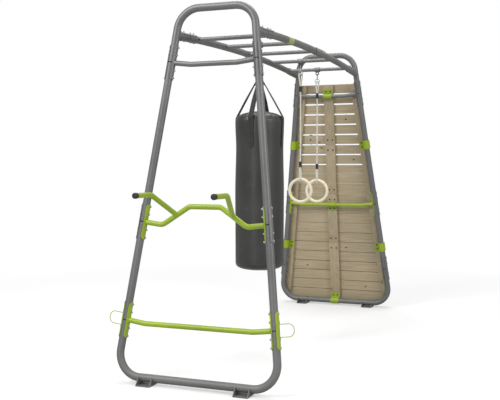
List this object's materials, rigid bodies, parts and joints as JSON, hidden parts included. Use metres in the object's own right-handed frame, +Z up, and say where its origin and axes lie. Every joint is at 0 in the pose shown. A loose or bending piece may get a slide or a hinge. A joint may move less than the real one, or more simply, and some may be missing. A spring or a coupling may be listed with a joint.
{
  "type": "climbing frame",
  "caption": "Outdoor climbing frame of steel tubes: two leaning end frames joined by an overhead ladder, with a plank climbing wall, gym rings, a hanging bag, dip handles and a foot bar.",
  "frame": {"origin": "centre of the footprint's box, on the ground under the feet", "axes": "+X to the right seen from the end with the dip handles, +Y from that end towards the climbing wall, +Z up"},
  "size_m": [1.241, 3.6094, 2.3963],
  "materials": {
    "grey_paint": "satin",
    "green_paint": "satin",
    "wall_wood": "matte",
    "black_plastic": "matte",
    "black_steel": "satin",
    "zinc_steel": "satin",
    "ring_cream": "satin",
    "rope_white": "matte",
    "bag_cover": "satin",
    "webbing": "matte"
  },
  "bodies": {
    "frame": {"front_base_tube": "grey_paint", "front_lower_leg_left": "grey_paint", "front_lower_leg_right": "grey_paint", "front_upper_leg_left": "grey_paint", "front_upper_leg_right": "grey_paint", "front_mid_plate_left": "grey_paint", "front_mid_plate_right": "grey_paint", "front_top_arch": "grey_paint", "front_top_bar": "grey_paint", "front_low_bar": "green_paint", "dip_bar": "green_paint", "dip_handle_cap_left": "black_plastic", "dip_handle_cap_right": "black_plastic", "front_foot_left": "grey_paint", "front_foot_right": "grey_paint", "rear_base_tube": "grey_paint", "rear_lower_leg_left": "grey_paint", "rear_lower_leg_right": "grey_paint", "rear_upper_leg_left": "grey_paint", "rear_upper_leg_right": "grey_paint", "rear_mid_plate_left": "grey_paint", "rear_mid_plate_right": "grey_paint", "rear_top_arch": "grey_paint", "rear_top_bar": "grey_paint", "rear_mid_bar": "green_paint", "rear_low_coupler_left": "grey_paint", "rear_low_coupler_right": "grey_paint", "rear_foot_left": "grey_paint", "rear_foot_right": "grey_paint", "ladder_front": "grey_paint", "ladder_rear": "grey_paint", "ladder_middle_rung": "grey_paint", "ladder_coupler_front_left": "grey_paint", "ladder_coupler_front_right": "grey_paint", "ladder_coupler_rear_left": "grey_paint", "ladder_coupler_rear_right": "grey_paint", "bag_collar": "grey_paint", "gym_ring_1_collar": "grey_paint", "gym_ring_2_collar": "grey_paint", "wall_panel_1": "wall_wood", "wall_panel_2": "wall_wood", "wall_panel_3": "wall_wood", "wall_panel_4": "wall_wood"},
    "bag_link": {"bag_link": "zinc_steel"},
    "bag_swivel": {"bag_swivel": "black_steel"},
    "bag": {"bag_harness": "webbing", "bag_body": "bag_cover"},
    "gym_ring_1_link": {"gym_ring_1_link": "zinc_steel"},
    "gym_ring_1_rope": {"gym_ring_1_steel_ring": "zinc_steel", "gym_ring_1_rope": "rope_white", "gym_ring_1_upper_adjuster": "black_plastic", "gym_ring_1_lower_adjuster": "black_plastic"},
    "gym_ring_1_hoop": {"gym_ring_1": "ring_cream"},
    "gym_ring_2_link": {"gym_ring_2_link": "zinc_steel"},
    "gym_ring_2_rope": {"gym_ring_2_steel_ring": "zinc_steel", "gym_ring_2_rope": "rope_white", "gym_ring_2_upper_adjuster": "black_plastic", "gym_ring_2_lower_adjuster": "black_plastic"},
    "gym_ring_2_hoop": {"gym_ring_2": "ring_cream"}
  },
  "joints": [
    {"name": "bag_link_swing", "type": "hinge", "parent": "frame", "child": "bag_link", "pos_m": [0, -0.40161, 2.18636], "axis": [1, 0, 0], "range_deg": [-15, 15]},
    {"name": "bag_side_swing", "type": "hinge", "parent": "bag_link", "child": "bag_swivel", "pos_m": [0, -0.40161, 2.15136], "axis": [0, 1, 0], "range_deg": [-15, 15]},
    {"name": "bag_spin", "type": "hinge", "parent": "bag_swivel", "child": "bag", "pos_m": [0, -0.40161, 2.1], "axis": [0, 0, 1], "continuous": true},
    {"name": "gym_ring_1_swing", "type": "hinge", "parent": "frame", "child": "gym_ring_1_link", "pos_m": [0, 0.57839, 2.18636], "axis": [1, 0, 0], "range_deg": [-20, 9]},
    {"name": "gym_ring_1_side_swing", "type": "hinge", "parent": "gym_ring_1_link", "child": "gym_ring_1_rope", "pos_m": [0, 0.57839, 2.15136], "axis": [0, 1, 0], "range_deg": [-20, 20]},
    {"name": "gym_ring_1_tilt", "type": "hinge", "parent": "gym_ring_1_rope", "child": "gym_ring_1_hoop", "pos_m": [0, 0.57839, 1.24466], "axis": [1, 0, 0], "range_deg": [-8, 8]},
    {"name": "gym_ring_2_swing", "type": "hinge", "parent": "frame", "child": "gym_ring_2_link", "pos_m": [0, 1.06839, 2.16897], "axis": [1, 0, 0], "range_deg": [-9, 20]},
    {"name": "gym_ring_2_side_swing", "type": "hinge", "parent": "gym_ring_2_link", "child": "gym_ring_2_rope", "pos_m": [0, 1.06839, 2.13397], "axis": [0, 1, 0], "range_deg": [-20, 20]},
    {"name": "gym_ring_2_tilt", "type": "hinge", "parent": "gym_ring_2_rope", "child": "gym_ring_2_hoop", "pos_m": [0, 1.06839, 1.22727], "axis": [1, 0, 0], "range_deg": [-8, 8]}
  ]
}
